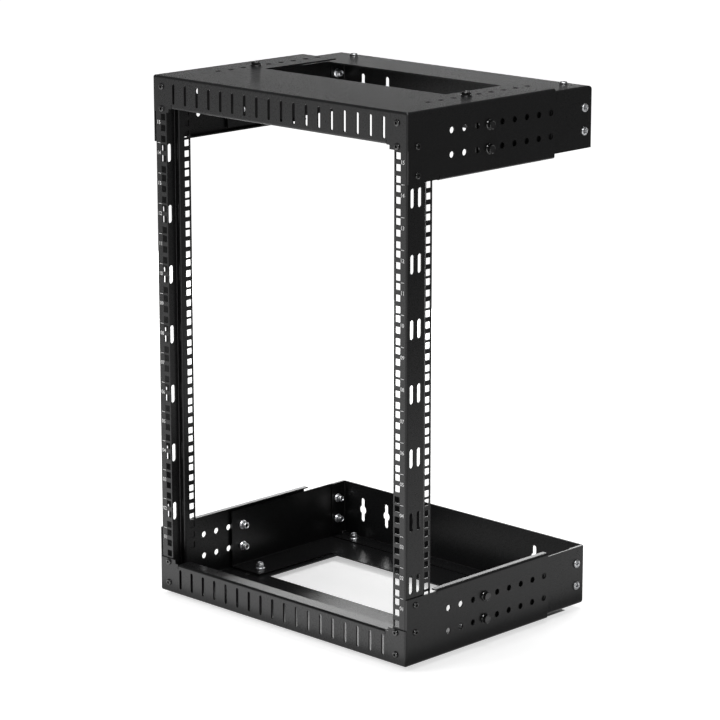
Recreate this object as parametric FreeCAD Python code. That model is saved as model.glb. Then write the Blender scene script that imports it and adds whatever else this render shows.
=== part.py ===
import FreeCAD, Part
import math
import os

# Wall-mount open frame rack: two slotted uprights between two trays, each tray in a front
# and a rear half that slide into each other for depth, with a hanging plate at the wall.
# Working frame in millimetres: X across, Y from the uprights' front face to the wall,
# Z up from the foot of the lowest rack unit. The lower tray is modelled, the upper mirrors it.

Vector = FreeCAD.Vector

# Rack pattern
rack_unit = 44.45
unit_count = 15
column_spacing = 465.12
hole_step = 15.875
square_hole = 9.5

# Sheet
sheet = 2.0
bend_radius = 3.3
bend_relief = 1.0

# Overall sizes
overall_width = 503.0
overall_depth = 385.0
end_margin = 53.5

# Uprights
flange_edge_margin = 7.06
web_depth = 38.0
strip_inset = 8.7
strip_end = 58.5
strip_hole_setback = 6.9
upright_end_gap = 0.3
web_slot_width = 7.5
web_slot_length = 27.0
web_slot_pitch = 90.0
web_slot_pairs = 7
web_slot_columns = (10.7, 25.2)

# Uprights' screws
screw_hole = 6.4
front_screw_offsets = (6.35, 38.1)
side_screw_setback = 18.0
side_screw_outer = 6.35
side_screw_inner = 33.1

# Front trays
front_tray_depth = 299.5
front_cutout_border = 73.5
front_cutout_start = 153.0
cutout_corner = 3.0
apron_edge_gap = 7.0
apron_tab_gap = 1.2
apron_tab_margin = 7.0
apron_lip = 23.0
apron_lip_gap = 6.5
apron_lip_slit = 1.0
apron_slot_count = 18
apron_slot_margin = 10.8
apron_slot_width = 5.0
apron_slot_length = 30.0
apron_slot_height = 24.2
cheek_reach = 43.5
cheek_lip_reach = 45.3
cheek_lip_width = 10.5
cheek_lip_start = 61.5

# Depth holes
depth_hole = 9.0
depth_hole_first = 87.4
depth_hole_pitch = 25.4
depth_hole_edge = 8.0
cheek_rows = (33.1, 66.5)
plate_row_inset = 44.0
clamp_index = 3

# Rear trays and the clearances in which they slide
cheek_clearance = 2.6
plate_clearance = 1.2
rear_tray_overhang = 22.6
rear_tray_setback = 1.8
rear_cheek_reach = 38.0
rear_cutout_border = 59.9
rear_cutout_setback = 92.0
rear_corner = 5.5

# Wall plates
wall_flange = 30.0
wall_bolt_setback = 17.2
keyhole_columns = (152.4, 203.2)
keyhole_height = 51.4
keyhole_length = 38.0
keyhole_slot = 7.4
keyhole_circle = 14.0

# Bolts
bolt_diameter = 6.0
bolt_hex = 12.0
bolt_flange = 16.0
bolt_shoulder = 14.2
bolt_head_height = 6.0
bolt_end_recess = 1.1
flange_rise = 1.8
pan_width = 12.4
pan_crown = 8.4
pan_rim = 1.2
pan_height = 3.2

# Locking nuts
nut_hex = 10.0
nut_flange = 14.0
nut_shoulder = 11.8
nut_hex_height = 6.4
nut_height = 9.1
collar_width = 9.6
collar_crown = 7.6
collar_rim = 1.6
thread_clearance = 0.1

# Share of the play in the depth holes by which the upper rear half hangs
play_taken = 0.53

# Sizes that follow
opening = rack_unit * unit_count
half_width = overall_width / 2
half_column = column_spacing / 2
half_plate_row = half_width - plate_row_inset
flange_inner_edge = half_column - flange_edge_margin
tab_edge = flange_inner_edge - apron_tab_margin
tab_top = -apron_tab_gap
apron_top = -apron_edge_gap
apron_slot_span = 2 * (tab_edge - apron_slot_margin)
apron_face = -sheet
wall_face = apron_face + overall_depth
front_foot = -end_margin
rear_foot = front_foot + sheet + plate_clearance
wall_foot = rear_foot + sheet
front_rear_end = apron_face + front_tray_depth
inner_half_width = half_width - sheet
rear_half_width = inner_half_width - cheek_clearance
wall_half_width = rear_half_width - sheet
rear_end = wall_face - rear_tray_setback
depth_hole_run = front_tray_depth - depth_hole_edge - depth_hole_first
depth_hole_count = 1 + int(depth_hole_run / depth_hole_pitch)
clamp_setback = apron_face + depth_hole_first + clamp_index * depth_hole_pitch
wall_bolt_y = wall_face - wall_bolt_setback
overcut = 1.0
lip_root = 2 * bend_radius
upper_hang = play_taken * (depth_hole - bolt_diameter)
stand_height = end_margin + bolt_head_height
depth_middle = apron_face + overall_depth / 2

# A profile drawn in X and Y and drawn out along Z is turned to lie along X or along Y
ALONG_X = FreeCAD.Rotation(Vector(1, 1, 1), 120)
ALONG_Y = FreeCAD.Rotation(Vector(1, 1, 1), 240)

RIGHT = Vector(1, 0, 0)
BACK = Vector(0, 1, 0)
UP = Vector(0, 0, 1)

# Upper pieces that do not hang by the full amount, with their share of it
HANG_SHARES = {
    "front_tray": 0.0,
    "plate_clamp_bolts": 0.0,
    "cheek_clamp_bolts": 0.5,
    "cheek_clamp_nuts": 0.5,
}


def box(low, high):
    """Block between two opposite corners."""
    size = high - low
    return Part.makeBox(size.x, size.y, size.z, low)


def mirrored(shapes):
    """The shapes and their mirror images across the rack's middle plane."""
    return shapes + [shape.mirror(Vector(0, 0, 0), RIGHT) for shape in shapes]


def bent_sheet(corners, length):
    """Sheet whose outer face follows the corners, rounded at each bend, drawn out along Z.

    The sheet lies to the left of the path, so a left turn shows the outside of its bend."""
    edges = []
    start = corners[0]
    for before, corner, after in zip(corners, corners[1:], corners[2:]):
        back = (before - corner).normalize()
        ahead = (after - corner).normalize()
        turns_left = back.cross(ahead).z < 0
        radius = bend_radius if turns_left else bend_radius - sheet
        half_angle = back.getAngle(ahead) / 2
        reach = radius / math.tan(half_angle)
        crown = corner + (back + ahead).normalize() * (radius / math.sin(half_angle) - radius)
        first = corner + back * reach
        last = corner + ahead * reach
        edges.append(Part.LineSegment(start, first).toShape())
        edges.append(Part.Arc(first, crown, last).toShape())
        start = last
    edges.append(Part.LineSegment(start, corners[-1]).toShape())
    profile = Part.Wire(edges).makeOffset2D(-sheet, 0, True, True)
    return profile.extrude(UP * length)


def bore(spot, outward, diameter):
    """Round cut through the one sheet whose outer face holds the spot."""
    start = spot + outward * overcut
    return Part.makeCylinder(diameter / 2, sheet + 2 * overcut, start, -outward)


def stadium(spot, outward, width, length):
    """Upright round-ended cut through the one sheet whose outer face holds the spot."""
    across = outward.cross(UP)
    half = width / 2
    rise = UP * (length / 2 - half)
    side = across * half
    top = spot + rise
    low = spot - rise
    outline = Part.Wire([
        Part.LineSegment(low + side, top + side).toShape(),
        Part.Arc(top + side, top + UP * half, top - side).toShape(),
        Part.LineSegment(top - side, low - side).toShape(),
        Part.Arc(low - side, low - UP * half, low + side).toShape(),
    ])
    outline.translate(outward * overcut)
    return Part.Face(outline).extrude(outward * -(sheet + 2 * overcut))


def rounded_pan(half, front, rear, foot, rim, radius):
    """Block with its two upright front edges and its front and side foot edges rounded."""
    block = box(Vector(-half, front, foot), Vector(half, rear, rim))
    bends = []
    for edge in block.Edges:
        middle = edge.CenterOfMass
        at_front = abs(middle.y - front) < overcut
        at_foot = abs(middle.z - foot) < overcut
        at_side = abs(abs(middle.x) - half) < overcut
        at_rear = abs(middle.y - rear) < overcut
        if at_front and at_side or at_foot and not at_rear:
            bends.append(edge)
    return block.makeFillet(radius, bends)


def pan_shell(half, front, rear, foot, rim):
    """Sheet pan, open at the rear and the top."""
    outer = rounded_pan(half, front, rear, foot, rim, bend_radius)
    inner = rounded_pan(half - sheet, front + sheet, rear + overall_depth, foot + sheet,
                        rim + overall_depth, bend_radius - sheet)
    return outer.cut(inner)


def plate_cutout(width, start, end, foot, rounded_end):
    """Rectangular cut through a tray's plate, with the two corners at one end rounded."""
    block = box(Vector(-width / 2, start, foot - overcut), Vector(width / 2, end, foot + sheet + overcut))
    corners = []
    for edge in block.Edges:
        middle = edge.CenterOfMass
        upright = abs(middle.z - foot - sheet / 2) < overcut and abs(abs(middle.x) - width / 2) < overcut
        if upright and abs(middle.y - rounded_end) < overcut:
            corners.append(edge)
    return block.makeFillet(cutout_corner, corners)


def unit_hole_heights():
    """Heights of the square holes, three to a rack unit."""
    heights = []
    for unit in range(unit_count):
        middle = (unit + 0.5) * rack_unit
        heights += [middle - hole_step, middle, middle + hole_step]
    return heights


def front_screw_heights():
    """Heights of the screws that hold an upright's front flange to the two aprons."""
    heights = []
    for offset in front_screw_offsets:
        heights += [-offset, opening + offset]
    return heights


def side_screw_heights():
    """Heights of the screws that hold an upright's web to the two trays' cheeks."""
    lower = [-side_screw_outer, side_screw_inner]
    return lower + [opening - height for height in lower]


def right_upright():
    """Upright bent from one sheet: front flange, web and a stepped rear strip."""
    foot = front_foot + bend_radius + upright_end_gap
    web_outer = inner_half_width
    strip_outer = web_outer - strip_inset
    corners = [
        Vector(flange_inner_edge, 0, 0),
        Vector(web_outer, 0, 0),
        Vector(web_outer, web_depth, 0),
        Vector(strip_outer, web_depth, 0),
        Vector(strip_outer, strip_end, 0),
    ]
    upright = bent_sheet(corners, opening - 2 * foot)
    upright.translate(UP * foot)
    cuts = []
    half = square_hole / 2
    strip_hole = strip_end - strip_hole_setback
    for height in unit_hole_heights():
        cuts.append(box(Vector(half_column - half, -overcut, height - half),
                        Vector(half_column + half, sheet + overcut, height + half)))
        cuts.append(box(Vector(strip_outer - sheet - overcut, strip_hole - half, height - half),
                        Vector(strip_outer + overcut, strip_hole + half, height + half)))
    for index in range(web_slot_pairs):
        height = opening / 2 + (index - (web_slot_pairs - 1) / 2) * web_slot_pitch
        for setback in web_slot_columns:
            spot = Vector(web_outer, setback, height)
            cuts.append(stadium(spot, RIGHT, web_slot_width, web_slot_length))
    for height in front_screw_heights():
        cuts.append(bore(Vector(half_column, 0, height), -BACK, screw_hole))
    for height in side_screw_heights():
        cuts.append(bore(Vector(web_outer, side_screw_setback, height), RIGHT, screw_hole))
    return upright.cut(cuts)


def front_tray_blank():
    """Pan of plate, apron and cheeks, trimmed to their different heights."""
    cheek_front = apron_face + bend_radius
    pan = pan_shell(half_width, apron_face, front_rear_end, front_foot, cheek_reach)
    beyond = Vector(half_width + overcut, 0, cheek_reach + overcut)
    trims = [
        box(Vector(-beyond.x, apron_face - overcut, tab_top), Vector(beyond.x, cheek_front, beyond.z)),
        box(Vector(-tab_edge, apron_face - overcut, apron_top - lip_root),
            Vector(tab_edge, cheek_front, beyond.z)),
        box(Vector(-beyond.x, cheek_lip_start - bend_relief, cheek_lip_reach - lip_root),
            Vector(beyond.x, front_rear_end + overcut, beyond.z)),
    ]
    return pan.cut(trims)


def apron_lip_sheet():
    """Stiffening lip along the apron's free edge, with its bend."""
    half = tab_edge - apron_lip_gap
    corners = [
        Vector(apron_face + apron_lip, apron_top, 0),
        Vector(apron_face, apron_top, 0),
        Vector(apron_face, apron_top - lip_root, 0),
    ]
    lip = bent_sheet(corners, 2 * half)
    lip.Placement = FreeCAD.Placement(RIGHT * -half, ALONG_X)
    return lip


def plain_edges():
    """Stretches without a bend: the apron's edge beside its lip and the cheek's front edge above the tab."""
    lip_end = tab_edge - apron_lip_gap + apron_lip_slit
    shoulder = box(Vector(lip_end, apron_face, apron_top - lip_root),
                   Vector(tab_edge, apron_face + sheet, apron_top))
    cheek_edge = box(Vector(inner_half_width, apron_face + sheet, tab_top),
                     Vector(half_width, apron_face + bend_radius, cheek_reach))
    return mirrored([shoulder, cheek_edge])


def cheek_lip_sheet():
    """Stiffening lip along the right cheek's free edge, with its bend."""
    corners = [
        Vector(cheek_lip_reach, half_width - cheek_lip_width, 0),
        Vector(cheek_lip_reach, half_width, 0),
        Vector(cheek_lip_reach - lip_root, half_width, 0),
    ]
    lip = bent_sheet(corners, front_rear_end - cheek_lip_start)
    lip.Placement = FreeCAD.Placement(BACK * cheek_lip_start, ALONG_Y)
    return lip


def front_tray_cuts():
    """Slots, screw holes, depth holes and the cut-out of a front tray."""
    cutout_width = overall_width - 2 * front_cutout_border
    cuts = [plate_cutout(cutout_width, apron_face + front_cutout_start, front_rear_end + overcut,
                         front_foot, apron_face + front_cutout_start)]
    for index in range(apron_slot_count):
        across = (index / (apron_slot_count - 1) - 0.5) * apron_slot_span
        spot = Vector(across, apron_face, front_foot + apron_slot_height)
        cuts.append(stadium(spot, -BACK, apron_slot_width, apron_slot_length))
    side_cuts = []
    for offset in front_screw_offsets:
        side_cuts.append(bore(Vector(half_column, apron_face, -offset), -BACK, screw_hole))
    for height in (-side_screw_outer, side_screw_inner):
        side_cuts.append(bore(Vector(half_width, side_screw_setback, height), RIGHT, screw_hole))
    for index in range(depth_hole_count):
        setback = apron_face + depth_hole_first + index * depth_hole_pitch
        for row in cheek_rows:
            side_cuts.append(bore(Vector(half_width, setback, front_foot + row), RIGHT, depth_hole))
        side_cuts.append(bore(Vector(half_plate_row, setback, front_foot), -UP, depth_hole))
    return cuts + mirrored(side_cuts)


def front_tray():
    """Lower front tray: slotted apron, plate with its cut-out and two lipped cheeks."""
    lips = [apron_lip_sheet()] + plain_edges() + mirrored([cheek_lip_sheet()])
    tray = front_tray_blank().fuse(lips).removeSplitter()
    return tray.cut(front_tray_cuts())


def rear_tray():
    """Lower rear tray: a channel that slides inside the front tray."""
    corners = [
        Vector(rear_cheek_reach, rear_half_width, 0),
        Vector(rear_foot, rear_half_width, 0),
        Vector(rear_foot, -rear_half_width, 0),
        Vector(rear_cheek_reach, -rear_half_width, 0),
    ]
    start = clamp_setback - rear_tray_overhang
    tray = bent_sheet(corners, rear_end - start)
    tray.Placement = FreeCAD.Placement(BACK * start, ALONG_Y)
    cutout_width = 2 * (rear_half_width - rear_cutout_border)
    cutout_end = wall_face - rear_cutout_setback
    cuts = [plate_cutout(cutout_width, start - overcut, cutout_end, rear_foot, cutout_end)]
    side_cuts = rear_end_trims()
    for setback in (clamp_setback, wall_bolt_y):
        for row in cheek_rows:
            side_cuts.append(bore(Vector(rear_half_width, setback, front_foot + row), RIGHT, depth_hole))
        side_cuts.append(bore(Vector(half_plate_row, setback, rear_foot), -UP, depth_hole))
    return tray.cut(cuts + mirrored(side_cuts))


def rear_end_trims():
    """Cuts that end the right half of the plate short of the wall and round the cheek's corner there."""
    low = Vector(rear_half_width - bend_radius, rear_end - rear_corner, rear_foot - overcut)
    high = Vector(rear_half_width + overcut, rear_end + overcut, rear_foot + rear_corner)
    plate = box(Vector(-overcut, low.y, low.z), Vector(low.x, high.y, rear_foot + sheet + overcut))
    centre = Vector(low.x - overcut, low.y, high.z)
    kept = Part.makeCylinder(rear_corner, high.x - centre.x + overcut, centre, RIGHT)
    return [plate, box(low, high).cut(kept)]


def keyhole(across):
    """Double-ended keyhole cut: a round entry between two upright slots."""
    spot = Vector(across, wall_face, front_foot + keyhole_height)
    entry = bore(spot, BACK, keyhole_circle)
    return entry.fuse(stadium(spot, BACK, keyhole_slot, keyhole_length))


def corner_relief():
    """Cut that parts the right side flange of a wall plate from its foot flange."""
    reach = bend_radius + bend_relief
    return box(Vector(wall_half_width - reach, wall_face - wall_flange - overcut, wall_foot - overcut),
               Vector(wall_half_width + overcut, wall_face + overcut, wall_foot + reach))


def wall_plate():
    """Lower hanging plate: keyholes in its face and flanges bolted into the rear tray."""
    pan = pan_shell(wall_half_width, -wall_face, wall_flange - wall_face, wall_foot, rear_cheek_reach)
    pan.rotate(Vector(0, 0, 0), UP, 180)
    side_cuts = [corner_relief()]
    for across in keyhole_columns:
        side_cuts.append(keyhole(across))
    for row in cheek_rows:
        side_cuts.append(bore(Vector(wall_half_width, wall_bolt_y, front_foot + row), RIGHT, depth_hole))
    side_cuts.append(bore(Vector(half_plate_row, wall_bolt_y, wall_foot), -UP, depth_hole))
    return pan.cut(mirrored(side_cuts))


def flanged_hexagon(across, height, flange, shoulder):
    """Hexagon of a wrench size on its sloped round flange, seated at height zero."""
    corner = across / 2 / math.cos(math.pi / 6)
    points = []
    for index in range(7):
        angle = index * math.pi / 3
        points.append(Vector(corner * math.cos(angle), corner * math.sin(angle), 0))
    hexagon = Part.Face(Part.makePolygon(points)).extrude(UP * height)
    skirt = Part.makeCone(flange / 2, shoulder / 2, flange_rise)
    return hexagon.fuse(skirt).removeSplitter()


def seated(shape, spot, outward):
    """The shape turned from standing on height zero to standing on the spot."""
    shape.Placement = FreeCAD.Placement(spot, FreeCAD.Rotation(UP, outward))
    return shape


def crowned_disc(width, rim, crown, height):
    """Round disc, seated at height zero: an upright rim under a sloped crown."""
    edge = Part.makeCylinder(width / 2, rim)
    slope = Part.makeCone(width / 2, crown / 2, height - rim, UP * rim)
    return edge.fuse(slope).removeSplitter()


def clamp_head():
    """Flanged hexagon head of the bolts that clamp the front and rear trays."""
    return flanged_hexagon(bolt_hex, bolt_head_height, bolt_flange, bolt_shoulder)


def pan_head():
    """Low round head of the bolts that hold the wall plates."""
    return crowned_disc(pan_width, pan_rim, pan_crown, pan_height)


def bolt(head, spot, outward, stack):
    """Bolt whose head seats on the spot and whose shank runs inwards through the stack into its nut."""
    length = stack + nut_height - bolt_end_recess
    shank = Part.makeCylinder(bolt_diameter / 2, length, UP * -length)
    return seated(head.fuse(shank).removeSplitter(), spot, outward)


def locking_nut(spot, outward, stack):
    """Flanged nut under a round collar, seated on the inner face of the stack that the bolt clamps."""
    body = flanged_hexagon(nut_hex, nut_hex_height, nut_flange, nut_shoulder)
    collar = crowned_disc(collar_width, collar_rim, collar_crown, nut_height - nut_hex_height)
    collar.translate(UP * nut_hex_height)
    bore_radius = bolt_diameter / 2 + thread_clearance
    nut = body.fuse(collar).cut(Part.makeCylinder(bore_radius, nut_height))
    return seated(nut, spot - outward * stack, -outward)


def fastener_sites():
    """Bolt sites of the lower tray by group: spot on the outer sheet, outward direction and stack clamped."""
    groups = {}
    pair = 2 * sheet
    joints = (
        ("clamp", clamp_setback, half_width, front_foot, pair + cheek_clearance, pair + plate_clearance),
        ("wall", wall_bolt_y, rear_half_width, rear_foot, pair, pair),
    )
    for joint, setback, face, foot, cheek_stack, plate_stack in joints:
        cheek_sites = []
        plate_sites = []
        for sign in (-1, 1):
            for row in cheek_rows:
                spot = Vector(sign * face, setback, front_foot + row)
                cheek_sites.append((spot, RIGHT * sign, cheek_stack))
            plate_sites.append((Vector(sign * half_plate_row, setback, foot), -UP, plate_stack))
        groups[f"cheek_{joint}"] = cheek_sites
        groups[f"plate_{joint}"] = plate_sites
    return groups


def upper(name, shape):
    """Mirror image of a lower piece, in the upper tray, lowered by its share of the hang."""
    drop = HANG_SHARES.get(name, 1.0) * upper_hang
    return shape.mirror(UP * (opening / 2), UP).translated(UP * -drop)


def write(node, shape):
    """Moves a piece so that the rack stands on height zero, centred, and writes it."""
    placed = shape.copy()
    placed.translate(Vector(0, -depth_middle, stand_height))
    placed.exportStep(f"parts/{node}.step")


def main():
    os.makedirs("parts", exist_ok=True)
    upright = right_upright()
    write("right_upright", upright)
    write("left_upright", upright.mirror(Vector(0, 0, 0), RIGHT))
    lower = {"front_tray": front_tray(), "rear_tray": rear_tray(), "wall_plate": wall_plate()}
    for name, sites in fastener_sites().items():
        head = pan_head() if name.endswith("wall") else clamp_head()
        lower[f"{name}_bolts"] = Part.makeCompound([bolt(head, *site) for site in sites])
        lower[f"{name}_nuts"] = Part.makeCompound([locking_nut(*site) for site in sites])
    for name, shape in lower.items():
        write(f"bottom_{name}", shape)
        write(f"top_{name}", upper(name, shape))


main()
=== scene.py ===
import math

import bpy
import numpy as np
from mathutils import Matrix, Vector


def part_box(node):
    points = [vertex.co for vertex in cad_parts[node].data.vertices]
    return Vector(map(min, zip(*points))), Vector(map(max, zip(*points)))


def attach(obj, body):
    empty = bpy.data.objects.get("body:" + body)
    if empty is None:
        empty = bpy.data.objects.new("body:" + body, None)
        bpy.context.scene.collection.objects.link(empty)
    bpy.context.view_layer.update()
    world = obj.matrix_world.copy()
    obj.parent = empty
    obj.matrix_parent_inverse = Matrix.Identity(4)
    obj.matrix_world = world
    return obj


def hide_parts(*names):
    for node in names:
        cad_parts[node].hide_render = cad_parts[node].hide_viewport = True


bl_info = {
    "name": "Wall Rack Looks",
    "version": (1, 0, 0),
    "blender": (4, 5, 0),
    "location": "3D View > Sidebar > Rack",
    "description": "Finishes, small hardware, unit marks and studio for an open frame wall rack",
    "category": "Object",
}

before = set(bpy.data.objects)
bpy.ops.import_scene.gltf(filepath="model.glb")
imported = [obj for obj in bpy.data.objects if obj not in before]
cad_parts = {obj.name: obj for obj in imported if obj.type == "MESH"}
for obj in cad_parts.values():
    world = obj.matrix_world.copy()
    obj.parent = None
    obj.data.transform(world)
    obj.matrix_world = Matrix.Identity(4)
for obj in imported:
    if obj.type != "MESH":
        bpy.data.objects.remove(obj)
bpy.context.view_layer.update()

TRAYS = ("bottom", "top")
SHEET_NODES = ["left_upright", "right_upright"]
for tray in TRAYS:
    SHEET_NODES += [f"{tray}_front_tray", f"{tray}_rear_tray", f"{tray}_wall_plate"]

MM = 0.001
AROUND = 48
FLOOR_REACH = 600.0
CLIP_END = 1000.0
GLOW_START, GLOW_END = 0.8, 4.0
# Painted shadow: strips of floor beneath the lower plates' sides lose the floor's added white, and the floor beneath
# their cut-out loses this share of it.
STRIP_INSET, STRIP_HALF = 28 * MM, 11 * MM
CUTOUT_SHADOW_SHARE = 0.28
STRIP_END_INSET = 25 * MM


# Values that a user would change

class RackPattern(bpy.types.PropertyGroup):
    """Places that the 19-inch pattern fixes."""
    unit: bpy.props.FloatProperty(
        name="Rack unit", description="Height of one rack unit", default=44.45 * MM, unit="LENGTH")
    units: bpy.props.IntProperty(
        name="Units", description="Number of rack units between the trays", default=15)
    columns: bpy.props.FloatProperty(
        name="Hole columns", description="Distance between the two columns of equipment holes",
        default=465.12 * MM, unit="LENGTH")
    end_margin: bpy.props.FloatProperty(
        name="End margin", description="From the lowest unit to the lower tray's outer face",
        default=53.5 * MM, unit="LENGTH")


class RackHardware(bpy.types.PropertyGroup):
    """Sizes of bolts, nuts and screws."""
    bolt_flange: bpy.props.FloatProperty(
        name="Bolt flange", description="Diameter of a clamp bolt's flange", default=16 * MM, unit="LENGTH")
    bolt_hexagon: bpy.props.FloatProperty(
        name="Bolt wrench size", description="Across the flats of a clamp bolt's head", default=12 * MM,
        unit="LENGTH")
    bolt_height: bpy.props.FloatProperty(
        name="Bolt head height", description="Height of a clamp bolt's head", default=6 * MM, unit="LENGTH")
    nut_flange: bpy.props.FloatProperty(
        name="Nut flange", description="Diameter of a nut's flange", default=14 * MM, unit="LENGTH")
    nut_hexagon: bpy.props.FloatProperty(
        name="Nut wrench size", description="Across the flats of a nut", default=10 * MM, unit="LENGTH")
    nut_shoulder: bpy.props.FloatProperty(
        name="Nut shoulder", description="From a nut's seat to the foot of its locking collar",
        default=6.4 * MM, unit="LENGTH")
    nut_height: bpy.props.FloatProperty(
        name="Nut height", description="Height of a nut with its locking collar", default=9.1 * MM, unit="LENGTH")
    collar: bpy.props.FloatProperty(
        name="Collar", description="Diameter of a nut's locking collar", default=9.6 * MM, unit="LENGTH")
    thread: bpy.props.FloatProperty(
        name="Thread", description="Outside diameter of the thread", default=6 * MM, unit="LENGTH")
    pitch: bpy.props.FloatProperty(
        name="Thread pitch", description="Rise of one turn of the thread", default=1 * MM, unit="LENGTH")
    recess: bpy.props.FloatProperty(
        name="End recess", description="From a nut's mouth in to the bolt's end", default=1.1 * MM, unit="LENGTH")
    pan_head: bpy.props.FloatProperty(
        name="Pan head", description="Diameter of a wall bolt's round head", default=12.4 * MM, unit="LENGTH")
    pan_rise: bpy.props.FloatProperty(
        name="Pan rise", description="Height of a wall bolt's round head", default=3.2 * MM, unit="LENGTH")
    sheet: bpy.props.FloatProperty(
        name="Sheet", description="Thickness of one of the two sheets that a bolt joins", default=2 * MM,
        unit="LENGTH")
    cheek_gap: bpy.props.FloatProperty(
        name="Cheek gap", description="Clearance between the cheeks of a front and a rear tray",
        default=2.6 * MM, unit="LENGTH")
    plate_gap: bpy.props.FloatProperty(
        name="Plate gap", description="Clearance between the plates of a front and a rear tray",
        default=1.2 * MM, unit="LENGTH")
    bead: bpy.props.FloatProperty(
        name="Bead", description="Radius of the bead of coat in a wall plate's corner", default=2.6 * MM,
        unit="LENGTH")
    screw_head: bpy.props.FloatProperty(
        name="Screw head", description="Diameter of a button head", default=9.5 * MM, unit="LENGTH")
    screw_rise: bpy.props.FloatProperty(
        name="Screw rise", description="Height of a button head", default=2.4 * MM, unit="LENGTH")
    socket: bpy.props.FloatProperty(
        name="Socket", description="Across the flats of a button head's socket", default=4 * MM, unit="LENGTH")
    front_offset_near: bpy.props.FloatProperty(
        name="Front screw, near", description="From the opening to the first apron screw",
        default=6.35 * MM, unit="LENGTH")
    front_offset_far: bpy.props.FloatProperty(
        name="Front screw, far", description="From the opening to the second apron screw",
        default=38.1 * MM, unit="LENGTH")
    side_setback: bpy.props.FloatProperty(
        name="Side screw setback", description="From the uprights' front face to the cheek screws",
        default=18 * MM, unit="LENGTH")
    side_reach: bpy.props.FloatProperty(
        name="Side screw reach", description="From the opening inwards to the inner cheek screw",
        default=33.1 * MM, unit="LENGTH")


class RackMarks(bpy.types.PropertyGroup):
    """Sizes and places of the printed unit marks."""
    inset: bpy.props.FloatProperty(
        name="Inset", description="From the middle plane to the middle of the marks",
        default=241.5 * MM, unit="LENGTH")
    rise: bpy.props.FloatProperty(
        name="Rise", description="From a unit's middle to the middle of its number",
        default=7.9 * MM, unit="LENGTH")
    digit: bpy.props.FloatProperty(
        name="Digit height", description="Height of a number", default=5.6 * MM, unit="LENGTH")
    tick_length: bpy.props.FloatProperty(
        name="Tick length", description="Length of the line between two units", default=6 * MM, unit="LENGTH")
    tick_width: bpy.props.FloatProperty(
        name="Tick width", description="Width of the line between two units", default=0.9 * MM, unit="LENGTH")
    ink: bpy.props.FloatProperty(
        name="Ink", description="Thickness of the print", default=0.06 * MM, unit="LENGTH")


class RackFinish(bpy.types.PropertyGroup):
    """Colours of the finishes."""
    coat: bpy.props.FloatVectorProperty(
        name="Powder coat", description="Colour of the sheet's powder coat", subtype="COLOR",
        default=(0.012, 0.012, 0.0125))
    coat_roughness: bpy.props.FloatProperty(
        name="Coat roughness", description="Roughness of the powder coat", subtype="FACTOR", default=0.28)
    coat_specular: bpy.props.FloatProperty(
        name="Coat specular", description="Specular level of the powder coat", subtype="FACTOR", default=0.23)
    oxide: bpy.props.FloatVectorProperty(
        name="Black oxide", description="Colour of the clamp bolts and screws", subtype="COLOR",
        default=(0.006, 0.006, 0.0062))
    zinc: bpy.props.FloatVectorProperty(
        name="Zinc", description="Colour of the zinc-plated hardware", subtype="COLOR",
        default=(0.84, 0.85, 0.87))
    # Painted shade: the wall bolts' zinc is darkened to this share, which dims their reflection of the bright floor.
    painted_zinc_shade: bpy.props.FloatProperty(
        name="Zinc painted shade", description="Share of the zinc's brightness on the wall bolts", subtype="FACTOR",
        default=0.5)
    ink: bpy.props.FloatVectorProperty(
        name="Mark ink", description="Colour of the unit marks", subtype="COLOR", default=(0.86, 0.86, 0.86))


class RackStudio(bpy.types.PropertyGroup):
    """Camera and light."""
    azimuth: bpy.props.FloatProperty(
        name="Azimuth", description="Camera's turn round the rack from its front", subtype="ANGLE",
        default=math.radians(44.26))
    elevation: bpy.props.FloatProperty(
        name="Elevation", description="Camera's angle above the horizon", subtype="ANGLE",
        default=math.radians(13.75))
    eye: bpy.props.FloatVectorProperty(
        name="Eye", description="Place of the camera", subtype="TRANSLATION", unit="LENGTH",
        default=(2.9426, -3.0439, 1.4035))
    lens: bpy.props.FloatProperty(
        name="Lens", description="Focal length in millimetres on a 36 mm sensor", default=149.925)
    floor: bpy.props.FloatVectorProperty(
        name="Floor", description="Colour of the pale floor", subtype="COLOR", default=(0.8, 0.8, 0.8))
    ambient: bpy.props.FloatProperty(
        name="Ambient", description="Strength of the even light from all round", default=0.18)
    glow_near: bpy.props.FloatProperty(
        name="Glow, near", description="White that the floor adds where it is seen near the rack", default=0.64)
    glow_far: bpy.props.FloatProperty(
        name="Glow, far", description="White that the floor adds where it is seen far off", default=0.91)
    key: bpy.props.FloatProperty(
        name="Key", description="Power of the front left softbox in watts", default=45.0)
    top: bpy.props.FloatProperty(
        name="Top", description="Power of the overhead softbox in watts", default=35.0)
    fill: bpy.props.FloatProperty(
        name="Fill", description="Power of the small upper right softbox in watts", default=50.0)
    card: bpy.props.FloatProperty(
        name="Back card", description="Power of the low white card behind the rack in watts", default=28.0)
    front_card: bpy.props.FloatProperty(
        name="Front card", description="Level of the white card on the floor that the rack's front mirrors",
        default=2.9)
    flag: bpy.props.FloatProperty(
        name="Flag", description="Grey of the dark card that the rack's right side mirrors", default=0.26)


# Mesh helpers

def put_mesh(name, points, faces, material, smooth=False):
    """Makes a mesh object at the origin from an array of points and arrays of corner numbers."""
    mesh = bpy.data.meshes.new(name)
    corners = [row for block in faces for row in np.asarray(block).tolist()]
    mesh.from_pydata(points.reshape(-1, 3).tolist(), [], corners)
    mesh.polygons.foreach_set("use_smooth", np.full(len(mesh.polygons), smooth))
    mesh.materials.append(material)
    mesh.update()
    piece = bpy.data.objects.new(name, mesh)
    bpy.context.scene.collection.objects.link(piece)
    return piece


def finished(piece, slot, *nodes):
    """Rides a piece on the rack and hides the nodes that it stands for. The slot is not used."""
    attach(piece, "root")
    if nodes:
        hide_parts(*nodes)


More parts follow.
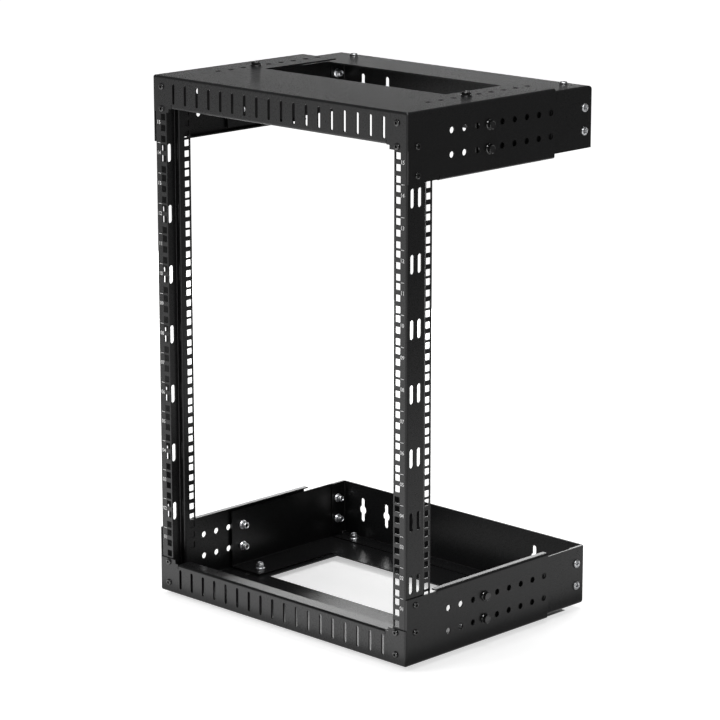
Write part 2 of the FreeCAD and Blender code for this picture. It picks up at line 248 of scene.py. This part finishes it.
def turned(radii, heights, bored=False):
    """Closed surface of rings about the Z axis: ring i has radius radii[i, angle] at heights[i, angle].

    The first and last rings are closed by fans to points on the axis, or joined to each other round a bore."""
    rings, around = radii.shape
    angle = np.arange(around) * (2 * np.pi / around)
    points = np.stack([radii * np.cos(angle), radii * np.sin(angle), heights], axis=-1).reshape(-1, 3)
    near = np.arange(around)
    far = (near + 1) % around
    lower = np.arange(rings if bored else rings - 1)[:, None] * around
    upper = (lower + around) % (rings * around)
    quads = np.stack([lower + near, lower + far, upper + far, upper + near], axis=-1).reshape(-1, 4)
    if bored:
        return points, [quads]
    ends = np.array([[0, 0, heights[0].mean()], [0, 0, heights[-1].mean()]])
    last = (rings - 1) * around
    foot = np.stack([np.full(around, rings * around), far, near], axis=-1)
    crown = np.stack([np.full(around, rings * around + 1), last + near, last + far], axis=-1)
    return np.concatenate([points, ends]), [quads, foot, crown]


def copies(points, faces, spots, outwards):
    """The shape repeated at each spot, with its Z axis turned to the outward direction there."""
    axis = np.asarray(outwards, float)
    helper = np.where(np.abs(axis[:, 2:3]) > 0.9, [[1.0, 0.0, 0.0]], [[0.0, 0.0, 1.0]])
    side = np.cross(helper, axis)
    side /= np.linalg.norm(side, axis=1, keepdims=True)
    turn = np.stack([side, np.cross(axis, side), axis], axis=1)
    placed = np.einsum("pi,kij->kpj", points, turn) + np.asarray(spots, float)[:, None, :]
    offset = np.arange(len(spots))[:, None, None] * len(points)
    return placed, [(block[None] + offset).reshape(-1, block.shape[1]) for block in faces]


def hexagon_radius(flat):
    """Distance from the axis to a hexagon of the given width across flats, at each angle."""
    angle = np.arange(AROUND) * (2 * np.pi / AROUND)
    return flat / 2 / np.cos((angle + np.pi / 6) % (np.pi / 3) - np.pi / 6)


def ring_table(rows):
    """Stacks (radius, height) rows, each a number or one value per angle, into two arrays."""
    radii = np.stack([np.broadcast_to(radius, AROUND) for radius, height in rows])
    heights = np.stack([np.broadcast_to(height, AROUND) for radius, height in rows])
    return radii, heights


# Materials

def new_material(name):
    """Empty node material with a principled shader and object coordinates."""
    material = bpy.data.materials.new(name)
    material.use_nodes = True
    nodes = material.node_tree.nodes
    shader = nodes["Principled BSDF"]
    place = nodes.new("ShaderNodeTexCoord")
    return material, shader, place.outputs["Object"]


def noise(material, place, scale, detail):
    """Noise texture on object coordinates; returns its factor output."""
    texture = material.node_tree.nodes.new("ShaderNodeTexNoise")
    texture.inputs["Scale"].default_value = scale
    texture.inputs["Detail"].default_value = detail
    material.node_tree.links.new(place, texture.inputs["Vector"])
    return texture.outputs["Fac"]


def ramp(material, factor, low, high):
    """Colour ramp between two colours over the middle of the factor; returns its colour output."""
    node = material.node_tree.nodes.new("ShaderNodeValToRGB")
    for element, position, colour in zip(node.color_ramp.elements, (0.35, 0.65), (low, high)):
        element.position = position
        element.color = (*colour, 1)
    material.node_tree.links.new(factor, node.inputs["Fac"])
    return node.outputs["Color"]


def spread(material, factor, low, high):
    """Maps a factor to a range of values."""
    node = material.node_tree.nodes.new("ShaderNodeMapRange")
    node.inputs["To Min"].default_value = low
    node.inputs["To Max"].default_value = high
    material.node_tree.links.new(factor, node.inputs["Value"])
    return node.outputs["Result"]


def bump(material, shader, height, distance, strength):
    """Bump from a height factor."""
    node = material.node_tree.nodes.new("ShaderNodeBump")
    node.inputs["Strength"].default_value = strength
    node.inputs["Distance"].default_value = distance
    material.node_tree.links.new(height, node.inputs["Height"])
    material.node_tree.links.new(node.outputs["Normal"], shader.inputs["Normal"])


def powder_coat(finish):
    """Satin powder coat: near black, with fine orange peel and faint cloudiness."""
    material, shader, place = new_material("powder_coat")
    coat = np.array(finish.coat)
    cloud = noise(material, place, 14.0, 3.0)
    grain = noise(material, place, 1400.0, 2.0)
    links = material.node_tree.links
    links.new(ramp(material, cloud, coat * 0.93, coat * 1.08), shader.inputs["Base Color"])
    rough = finish.coat_roughness
    links.new(spread(material, grain, rough - 0.05, rough + 0.05), shader.inputs["Roughness"])
    shader.inputs["Specular IOR Level"].default_value = finish.coat_specular
    bump(material, shader, grain, 0.00008, 0.35)
    return material


def black_oxide(finish):
    """Black oxide on steel hardware: dark, a little shinier than the coat."""
    material, shader, place = new_material("black_oxide")
    tone = np.array(finish.oxide)
    patch = noise(material, place, 400.0, 3.0)
    links = material.node_tree.links
    links.new(ramp(material, patch, tone * 0.8, tone * 1.25), shader.inputs["Base Color"])
    links.new(spread(material, patch, 0.1, 0.16), shader.inputs["Roughness"])
    return material


def zinc_plate(finish, name="zinc_plate", shade=1.0):
    """Zinc plate, bright, or darkened as painted shade: metal with faint mottling."""
    material, shader, place = new_material(name)
    tone = np.array(finish.zinc) * shade
    patch = noise(material, place, 500.0, 3.0)
    links = material.node_tree.links
    links.new(ramp(material, patch, tone * 0.88, tone), shader.inputs["Base Color"])
    links.new(spread(material, patch, 0.28, 0.36), shader.inputs["Roughness"])
    shader.inputs["Metallic"].default_value = 1.0
    return material


def mark_ink(finish):
    """White screen print with a slightly uneven film."""
    material, shader, place = new_material("mark_ink")
    tone = np.array(finish.ink)
    film = noise(material, place, 2500.0, 2.0)
    links = material.node_tree.links
    links.new(ramp(material, film, tone * 0.9, tone), shader.inputs["Base Color"])
    shader.inputs["Roughness"].default_value = 0.5
    return material


# Bolts, nuts and screws

def flange_rings(flange, flat):
    """Rings of a round flange under a hexagon: flat seat, thin rim and a slope up to the hexagon's corners."""
    rim = flange / 2
    hexagon = hexagon_radius(flat)
    return [
        (rim * 0.97, 0.0),
        (rim, 0.25 * MM),
        (rim, 0.75 * MM),
        (rim * 0.96, 1.05 * MM),
        (hexagon.max() + 0.25 * MM, 1.75 * MM),
        (hexagon, 2.05 * MM),
    ]


def head_rings(hardware):
    """Rings of a clamp bolt's head: flange, hexagon, corners cut by a cone, and a dished top."""
    flat = hardware.bolt_hexagon
    hexagon = hexagon_radius(flat)
    top = hardware.bolt_height
    chamfer = (hexagon - flat / 2) * 0.58
    return flange_rings(hardware.bolt_flange, flat) + [
        (hexagon, top - 0.35 * MM - chamfer),
        (np.minimum(hexagon, flat * 0.475), top - 0.05 * MM),
        (flat * 0.40, top),
        (flat * 0.36, top - 0.3 * MM),
    ]


def pan_rings(hardware):
    """Rings of a round head with a cross recess, from the seat to near the axis.

    The head's height falls off with the fourth power of the radius. The recess is sunk by two crossed
    arms, each a smooth step of the distance from its middle line that shallows towards its ends."""
    rim = hardware.pan_head / 2
    rise = hardware.pan_rise
    radius = rim * np.concatenate([[0.97, 1.0, 1.0], np.linspace(0.985, 0.02, 22)])[:, None]
    angle = np.arange(AROUND) * (2 * np.pi / AROUND)
    dome = rise * (0.34 + 0.66 * np.sqrt(np.clip(1 - (radius / rim) ** 4, 0, 1)))
    dome[:2, 0] = 0.0, 0.16 * rise
    reach, half = 0.6 * rim, 0.13 * rim
    along = radius * np.stack([np.cos(angle), np.sin(angle)])[:, None, :]
    beside = along[::-1]
    arm = np.clip(1.5 - np.abs(beside) / half, 0, 1) * np.clip((reach - np.abs(along)) / (0.3 * reach), 0, 1)
    sunk = 0.85 * rise * np.maximum(arm[0], arm[1])
    return np.broadcast_to(radius, sunk.shape), dome - sunk


def thread_rings(hardware, start, end):
    """Rings of a screw thread from start up to end: the radius follows a triangle wave along the helix."""
    angle = np.arange(AROUND) / AROUND
    count = int(round((end - start) / hardware.pitch * 8)) + 1
    heights = np.linspace(start, end, count)[:, None]
    phase = (heights / hardware.pitch - angle) % 1
    radii = hardware.thread / 2 - 0.55 * hardware.pitch * np.abs(2 * phase - 1)
    return radii, np.broadcast_to(heights, radii.shape)


def bolt_shape(hardware, head, stack):
    """Bolt: a head above height zero and, below it, a plain shank through the stack and a chamfered thread."""
    end = stack + hardware.nut_height - hardware.recess
    tip = ring_table([(hardware.thread * 0.38, -end), (hardware.thread * 0.41, -end + 0.1 * MM)])
    thread = thread_rings(hardware, -end + 0.6 * MM, -stack)
    shank = ring_table([(hardware.thread / 2, -stack), (hardware.thread / 2, 0.0)])
    return turned(*(np.concatenate(parts) for parts in zip(tip, thread, shank, head)))


def nut_shape(hardware):
    """Locking nut round its bore: flange, hexagon cut by a cone, and a collar whose edge is a quarter round."""
    flat = hardware.nut_hexagon
    hexagon = hexagon_radius(flat)
    shoulder, top = hardware.nut_shoulder, hardware.nut_height
    wall = hardware.collar / 2
    bore = hardware.thread / 2 + 0.1 * MM
    curl = 0.9 * MM
    sweep = np.linspace(0, np.pi / 2, 6)
    rows = [(bore, 0.0)] + flange_rings(hardware.nut_flange, flat)
    rows += [(hexagon, shoulder - 0.25 * MM - (hexagon - flat / 2) * 0.58)]
    rows += [(np.minimum(hexagon, wall + 0.05 * MM), shoulder)]
    rows += [(wall - curl * (1 - np.cos(part)), top - curl * (1 - np.sin(part))) for part in sweep]
    rows += [(bore + 0.35 * MM, top - 0.1 * MM), (bore, top - 0.5 * MM)]
    return turned(*ring_table(rows), bored=True)


def screw_shape(hardware):
    """Button head: domed from its rim to a flat round the hexagon socket, which is sunk with a flat floor."""
    rim = hardware.screw_head / 2
    rise = hardware.screw_rise
    socket = hexagon_radius(hardware.socket)
    sweep = np.linspace(0, 1, 9)[1:]
    dome = [(rim * (1 - 0.46 * part ** 2.2), rise * (0.12 + 0.88 * np.sin(part * np.pi / 2))) for part in sweep]
    rows = [(rim * 0.98, 0.0), (rim, 0.12 * rise)] + dome
    rows += [(socket, rise), (socket, rise - 2.0 * MM)]
    return turned(*ring_table(rows))


def bead_shape(radius):
    """Bead twice as long as it is thick: an ellipsoid, whose radius follows a half circle along its length."""
    rings = 13
    sweep = np.linspace(0.05, 0.95, rings)[:, None] * np.pi
    radii = np.broadcast_to(radius * np.sin(sweep), (rings, AROUND))
    heights = np.broadcast_to(2 * radius * (1 - np.cos(sweep)), (rings, AROUND))
    return turned(radii, heights)


def cheek_sites(node, head, radius):
    """Four spots and outward directions of the cheek bolts in a node, from the node's box."""
    low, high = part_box(node)
    spots, outwards = [], []
    for side in (-1, 1):
        for height in (low.z + radius, high.z - radius):
            spots.append((side * (high.x - head), (low.y + high.y) / 2, height))
            outwards.append((side, 0, 0))
    return spots, outwards


def plate_sites(node, head, radius):
    """Two spots and outward directions of the plate bolts in a node, from the node's box."""
    low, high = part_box(node)
    lower = node.startswith("bottom")
    seat = low.z + head if lower else high.z - head
    spots = [(side * (high.x - radius), (low.y + high.y) / 2, seat) for side in (-1, 1)]
    return spots, [(0, 0, -1 if lower else 1)] * 2


def put_fasteners(group, shapes, head, radius, material, slot, inward=False):
    """Stands the cheek's and the plate's shape in the places of a group's fasteners on both trays."""
    for tray in TRAYS:
        for face, sites, shape in zip(("cheek", "plate"), (cheek_sites, plate_sites), shapes):
            node = f"{tray}_{face}_{group}"
            spots, outwards = sites(node, head, radius)
            directions = -np.array(outwards) if inward else outwards
            points, faces = copies(*shape, spots, directions)
            finished(put_mesh(f"{node}_turned", points, faces, material), slot, node)


class RACK_OT_coat_sheets(bpy.types.Operator):
    """Gives every bent sheet of the rack its powder coat"""
    bl_idname = "rack.coat_sheets"
    bl_label = "Coat Sheets"

    def execute(self, context):
        material = powder_coat(context.scene.rack_finish)
        for name in SHEET_NODES:
            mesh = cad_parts[name].data
            mesh.materials.clear()
            mesh.materials.append(material)
        return {"FINISHED"}


class RACK_OT_beads(bpy.types.Operator):
    """Closes the corners of the wall plates with beads of coat"""
    bl_idname = "rack.beads"
    bl_label = "Corner Beads"

    def execute(self, context):
        radius = context.scene.rack_hardware.bead
        shape = bead_shape(radius)
        material = powder_coat(context.scene.rack_finish)
        spots = []
        for tray in TRAYS:
            low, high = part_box(f"{tray}_wall_plate")
            height = low.z + radius if tray == "bottom" else high.z - radius
            spots += [(side * (high.x - radius), high.y - 4 * radius, height) for side in (-1, 1)]
        points, faces = copies(*shape, spots, [(0, 1, 0)] * len(spots))
        finished(put_mesh("corner_beads", points, faces, material, smooth=True), "powder_coat")
        return {"FINISHED"}


class RACK_OT_clamp_bolts(bpy.types.Operator):
    """Puts threaded flange bolts with chamfered heads in the places of the clamp bolts"""
    bl_idname = "rack.clamp_bolts"
    bl_label = "Clamp Bolts"

    def execute(self, context):
        hardware = context.scene.rack_hardware
        pair = 2 * hardware.sheet
        head = ring_table(head_rings(hardware))
        shapes = [bolt_shape(hardware, head, pair + gap) for gap in (hardware.cheek_gap, hardware.plate_gap)]
        material = black_oxide(context.scene.rack_finish)
        put_fasteners("clamp_bolts", shapes, hardware.bolt_height, hardware.bolt_flange / 2, material, "black_bolt")
        return {"FINISHED"}


class RACK_OT_wall_bolts(bpy.types.Operator):
    """Puts round-headed bolts with cross recesses in the places of the wall plates' bolts"""
    bl_idname = "rack.wall_bolts"
    bl_label = "Wall Bolts"

    def execute(self, context):
        hardware = context.scene.rack_hardware
        shape = bolt_shape(hardware, pan_rings(hardware), 2 * hardware.sheet)
        finish = context.scene.rack_finish
        # Painted shade: the wall bolts get a darkened copy of the zinc, which dims their reflection of the bright
        # floor.
        material = zinc_plate(finish, "painted_shade_zinc", finish.painted_zinc_shade)
        put_fasteners("wall_bolts", [shape] * 2, hardware.pan_rise, hardware.pan_head / 2, material, "zinc")
        return {"FINISHED"}


class RACK_OT_nuts(bpy.types.Operator):
    """Puts flanged locking nuts with round collars in the places of the frame's nuts"""
    bl_idname = "rack.nuts"
    bl_label = "Locking Nuts"

    def execute(self, context):
        hardware = context.scene.rack_hardware
        shape = nut_shape(hardware)
        material = zinc_plate(context.scene.rack_finish)
        for group in ("clamp_nuts", "wall_nuts"):
            put_fasteners(group, [shape] * 2, 0.0, hardware.nut_flange / 2, material, "zinc", inward=True)
        return {"FINISHED"}


class RACK_OT_screws(bpy.types.Operator):
    """Puts button-head screws through the aprons and cheeks into the uprights"""
    bl_idname = "rack.screws"
    bl_label = "Button Screws"

    def execute(self, context):
        hardware = context.scene.rack_hardware
        pattern = context.scene.rack_pattern
        shape = screw_shape(hardware)
        material = black_oxide(context.scene.rack_finish)
        low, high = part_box("bottom_front_tray")
        foot = low.z + pattern.end_margin
        crown = foot + pattern.unit * pattern.units
        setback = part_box("right_upright")[0].y + hardware.side_setback
        near, far = hardware.front_offset_near, hardware.front_offset_far
        front, side = [], []
        for across in (-1, 1):
            for height in (foot - near, foot - far, crown + near, crown + far):
                front.append((across * pattern.columns / 2, low.y, height))
            for height in (foot - near, foot + hardware.side_reach, crown + near, crown - hardware.side_reach):
                side.append((across * high.x, setback, height))
        points, faces = copies(*shape, front, [(0, -1, 0)] * len(front))
        finished(put_mesh("apron_screws", points, faces, material), "black_bolt")
        points, faces = copies(*shape, side, [(math.copysign(1, spot[0]), 0, 0) for spot in side])
        finished(put_mesh("cheek_screws", points, faces, material), "black_bolt")
        return {"FINISHED"}


def number_mesh(text, marks):
    """Points and faces of a printed number, centred, in the plane of X and Z and facing the front."""
    curve = bpy.data.curves.new("number", "FONT")
    curve.body = text
    curve.align_x = "CENTER"
    curve.align_y = "CENTER"
    curve.offset = 0.02
    curve.extrude = 0.5
    maker = bpy.data.objects.new("number", curve)
    mesh = bpy.data.meshes.new_from_object(maker)
    points = np.empty(len(mesh.vertices) * 3)
    mesh.vertices.foreach_get("co", points)
    points = points.reshape(-1, 3)
    mesh.calc_loop_triangles()
    faces = np.empty(len(mesh.loop_triangles) * 3, int)
    mesh.loop_triangles.foreach_get("vertices", faces)
    bpy.data.objects.remove(maker)
    bpy.data.curves.remove(curve)
    bpy.data.meshes.remove(mesh)
    low, high = points.min(0), points.max(0)
    scale = marks.digit / (high[1] - low[1])
    flat = (points - (low + high) / 2) * scale
    depth = (points[:, 2] - low[2]) * marks.ink
    return np.stack([flat[:, 0], -depth, flat[:, 1]], axis=1), faces.reshape(-1, 3)


def tick_mesh(marks):
    """Points and faces of a printed line: a thin box whose corners are all sign choices."""
    signs = np.array([[x, y, z] for x in (-0.5, 0.5) for y in (-1, 0) for z in (-0.5, 0.5)])
    points = signs * np.array([marks.tick_length, marks.ink, marks.tick_width])
    faces = [[0, 1, 3, 2], [4, 6, 7, 5], [0, 4, 5, 1], [2, 3, 7, 6], [0, 2, 6, 4], [1, 5, 7, 3]]
    return points, np.array(faces)


class RACK_OT_marks(bpy.types.Operator):
    """Prints the unit numbers and the lines between units on both uprights"""
    bl_idname = "rack.marks"
    bl_label = "Unit Marks"

    def execute(self, context):
        marks = context.scene.rack_marks
        pattern = context.scene.rack_pattern
        material = mark_ink(context.scene.rack_finish)
        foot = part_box("bottom_front_tray")[0].z + pattern.end_margin
        for side, across in (("left", -marks.inset), ("right", marks.inset)):
            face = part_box(f"{side}_upright")[0].y
            shapes = []
            for unit in range(1, pattern.units + 1):
                height = foot + (unit - 0.5) * pattern.unit + marks.rise
                shapes.append((*number_mesh(f"{unit:02d}", marks), (across, face, height)))
            for unit in range(1, pattern.units):
                shapes.append((*tick_mesh(marks), (across, face, foot + unit * pattern.unit)))
            points, faces, count = [], [], 0
            for own_points, own_faces, spot in shapes:
                points.append(own_points + np.array(spot))
                faces.append(own_faces + count)
                count += len(own_points)
            finished(put_mesh(f"{side}_unit_marks", np.concatenate(points), faces, material), "mark_ink")
        return {"FINISHED"}


# Studio

def camera_view(studio):
    """Camera at the eye, turned along the azimuth and elevation."""
    back = Vector((math.sin(studio.azimuth) * math.cos(studio.elevation),
                   -math.cos(studio.azimuth) * math.cos(studio.elevation),
                   math.sin(studio.elevation)))
    data = bpy.data.cameras.new("camera")
    data.lens = studio.lens
    data.sensor_width = 36
    data.clip_end = CLIP_END
    camera = bpy.data.objects.new("camera", data)
    camera.location = studio.eye
    camera.rotation_mode = "QUATERNION"
    camera.rotation_quaternion = (-back).to_track_quat("-Z", "Y")
    bpy.context.scene.collection.objects.link(camera)
    bpy.context.scene.camera = camera


def reckon(tree, operation, *values):
    """Math node of the given operation on sockets or numbers; returns its output."""
    node = tree.nodes.new("ShaderNodeMath")
    node.operation = operation
    for value, socket in zip(values, node.inputs):
        if isinstance(value, (int, float)):
            socket.default_value = value
        else:
            tree.links.new(value, socket)
    return node.outputs[0]


def seen_factor(tree):
    """One for camera, glossy and transmission rays, nought for the rest."""
    path = tree.nodes.new("ShaderNodeLightPath").outputs
    mirrored = reckon(tree, "MAXIMUM", path["Is Glossy Ray"], path["Is Transmission Ray"])
    return reckon(tree, "MAXIMUM", path["Is Camera Ray"], mirrored)


def painted_shadow_mask(tree, across, along):
    """One on the floor beneath the lower plates' side strips, a share beneath their cut-out, nought elsewhere: the
    mask of a painted shadow.
    """
    low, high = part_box("bottom_front_tray")
    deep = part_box("bottom_wall_plate")[1].y
    strips = reckon(tree, "COMPARE", reckon(tree, "ABSOLUTE", across), high.x - STRIP_INSET, STRIP_HALF)
    gap = reckon(tree, "COMPARE", across, 0.0, high.x - STRIP_INSET - STRIP_HALF)
    dark = reckon(tree, "ADD", strips, reckon(tree, "MULTIPLY", gap, CUTOUT_SHADOW_SHARE))
    within = reckon(tree, "COMPARE", along, (low.y + deep) / 2, (deep - low.y) / 2 - STRIP_END_INSET)
    return reckon(tree, "MULTIPLY", dark, within)


def pale_floor(studio):
    """Wide pale floor at the rack's foot that keeps its soft shadow and fades to white.

    The white that it adds where it is seen grows with the distance from the rack. It is left out in strips beneath
    the rack's lower sides, and partly beneath the lower cut-out, as a painted shadow that darkens the floor seen
    there."""
    material = bpy.data.materials.new("floor")
    material.use_nodes = True
    tree = material.node_tree
    shader = tree.nodes["Principled BSDF"]
    shader.inputs["Base Color"].default_value = (*studio.floor, 1)
    shader.inputs["Roughness"].default_value = 0.9
    shader.inputs["Specular IOR Level"].default_value = 0.0
    shader.inputs["Emission Color"].default_value = (1, 1, 1, 1)
    place = tree.nodes.new("ShaderNodeTexCoord").outputs["Object"]
    away = tree.nodes.new("ShaderNodeVectorMath")
    away.operation = "LENGTH"
    tree.links.new(place, away.inputs[0])
    level = tree.nodes.new("ShaderNodeMapRange")
    values = {"From Min": GLOW_START, "From Max": GLOW_END, "To Min": studio.glow_near, "To Max": studio.glow_far}
    for name, value in values.items():
        level.inputs[name].default_value = value
    tree.links.new(away.outputs["Value"], level.inputs["Value"])
    split = tree.nodes.new("ShaderNodeSeparateXYZ")
    tree.links.new(place, split.inputs[0])
    # Painted shadow: the floor's added white is taken out beneath the rack's lower side strips and in part beneath
    # the cut-out.
    clear = reckon(tree, "SUBTRACT", 1.0, painted_shadow_mask(tree, split.outputs["X"], split.outputs["Y"]))
    glow = reckon(tree, "MULTIPLY", reckon(tree, "MULTIPLY", seen_factor(tree), clear), level.outputs["Result"])
    tree.links.new(glow, shader.inputs["Emission Strength"])
    corners = FLOOR_REACH * np.array([[-1, -1, 0], [1, -1, 0], [1, 1, 0], [-1, 1, 0]])
    put_mesh("floor", corners, [[[0, 1, 2, 3]]], material)


def softbox(name, place, target, width, height, power, lights=True, mirrored=True):
    """Rectangular lamp that faces the target, out of the picture.

    It may also be left out of the matt light or out of the reflections."""
    data = bpy.data.lights.new(name, "AREA")
    data.shape = "RECTANGLE"
    data.size = width
    data.size_y = height
    data.energy = power
    lamp = bpy.data.objects.new(name, data)
    lamp.location = place
    lamp.rotation_mode = "QUATERNION"
    lamp.rotation_quaternion = (Vector(target) - Vector(place)).to_track_quat("-Z", "Y")
    lamp.visible_camera = False
    lamp.visible_diffuse = lights
    lamp.visible_glossy = mirrored
    bpy.context.scene.collection.objects.link(lamp)


def mirrored_card(name, corners, level):
    """Flat four-cornered cards that glow evenly at a level where 1 is white, seen only in reflections."""
    material = bpy.data.materials.new(name)
    material.use_nodes = True
    shader = material.node_tree.nodes["Principled BSDF"]
    shader.inputs["Base Color"].default_value = (0, 0, 0, 1)
    shader.inputs["Specular IOR Level"].default_value = 0.0
    shader.inputs["Emission Color"].default_value = (1, 1, 1, 1)
    shader.inputs["Emission Strength"].default_value = level
    card = put_mesh(name, corners, [np.arange(len(corners)).reshape(-1, 4)], material)
    card.visible_camera = False
    card.visible_diffuse = False
    card.visible_shadow = False


def dark_flag(studio):
    """Upright dark card behind the right side, and a dark strip on the floor just right of the rack: painted shade
    that the rack's right side mirrors in place of the floor's contact shadow.
    """
    half_width, height = 2.0, 1.4
    along = np.array([-0.716, 0.698, 0]) * half_width
    foot = np.array([1.05, 1.07, 0.0])
    crown = foot + np.array([0, 0, height])
    # Painted shade: a dark strip on the floor beside the right cheeks, seen only in reflections, stands in for the
    # floor's contact shadow.
    strip = np.array([[0.262, -0.3, 0.001], [0.3, -0.3, 0.001], [0.3, 0.3, 0.001], [0.262, 0.3, 0.001]])
    corners = np.concatenate([[foot - along, foot + along, crown + along, crown - along], strip])
    mirrored_card("flag", corners, studio.flag)


def front_card(studio):
    """White cards on the floor, from the lower apron to the front left and from its right end to the front right."""
    lift = 0.002
    left = [[-0.5, -0.23], [0.5, -0.23], [-0.4, -4.4], [-3.5, -4.4]]
    right = [[0.3, -0.34], [0.4, -0.24], [3.6, -2.4], [2.4, -3.6]]
    corners = np.concatenate([left, right])
    mirrored_card("front_card", np.insert(corners, 2, lift, axis=1), studio.front_card)


def even_world(studio):
    """Even grey light from all round."""
    world = bpy.data.worlds.new("studio")
    world.use_nodes = True
    background = world.node_tree.nodes["Background"]
    background.inputs["Color"].default_value = (1, 1, 1, 1)
    background.inputs["Strength"].default_value = studio.ambient
    bpy.context.scene.world = world


class RACK_OT_stage(bpy.types.Operator):
    """Sets up the floor, the soft lights and the camera"""
    bl_idname = "rack.stage"
    bl_label = "Studio"

    def execute(self, context):
        studio = context.scene.rack_studio
        middle = (0, 0, 0.39)
        context.scene.view_settings.view_transform = "Standard"
        pale_floor(studio)
        even_world(studio)
        softbox("key", (-1.6, -2.4, 2.1), middle, 2.0, 2.0, studio.key, mirrored=False)
        softbox("overhead", (0.0, 0.2, 2.8), middle, 1.2, 1.2, studio.top)
        softbox("fill", (1.5, -1.0, 2.0), middle, 0.9, 0.9, studio.fill, lights=False)
        softbox("back_card", (-1.1, 1.5, 0.44), (-1.1, 0, 0.44), 2.5, 0.88, studio.card)
        front_card(studio)
        dark_flag(studio)
        camera_view(studio)
        return {"FINISHED"}


class RACK_PT_panel(bpy.types.Panel):
    """Lists the rack's steps and values"""
    bl_idname = "RACK_PT_panel"
    bl_label = "Rack"
    bl_space_type = "VIEW_3D"
    bl_region_type = "UI"
    bl_category = "Rack"

    def draw(self, context):
        for step in STEPS:
            self.layout.operator(step.bl_idname)
        for name, group in GROUPS.items():
            column = self.layout.column()
            for key in group.__annotations__:
                column.prop(getattr(context.scene, name), key)


GROUPS = {
    "rack_pattern": RackPattern,
    "rack_hardware": RackHardware,
    "rack_marks": RackMarks,
    "rack_finish": RackFinish,
    "rack_studio": RackStudio,
}
STEPS = (
    RACK_OT_coat_sheets,
    RACK_OT_beads,
    RACK_OT_clamp_bolts,
    RACK_OT_wall_bolts,
    RACK_OT_nuts,
    RACK_OT_screws,
    RACK_OT_marks,
    RACK_OT_stage,
)


def register():
    for name, group in GROUPS.items():
        bpy.utils.register_class(group)
        setattr(bpy.types.Scene, name, bpy.props.PointerProperty(type=group))
    for step in STEPS:
        bpy.utils.register_class(step)
    bpy.utils.register_class(RACK_PT_panel)


def unregister():
    bpy.utils.unregister_class(RACK_PT_panel)
    for step in reversed(STEPS):
        bpy.utils.unregister_class(step)
    for name, group in reversed(GROUPS.items()):
        delattr(bpy.types.Scene, name)
        bpy.utils.unregister_class(group)


def main():
    register()
    bpy.ops.rack.coat_sheets()
    bpy.ops.rack.beads()
    bpy.ops.rack.clamp_bolts()
    bpy.ops.rack.wall_bolts()
    bpy.ops.rack.nuts()
    bpy.ops.rack.screws()
    bpy.ops.rack.marks()
    bpy.ops.rack.stage()


if __name__ == "__main__":
    main()
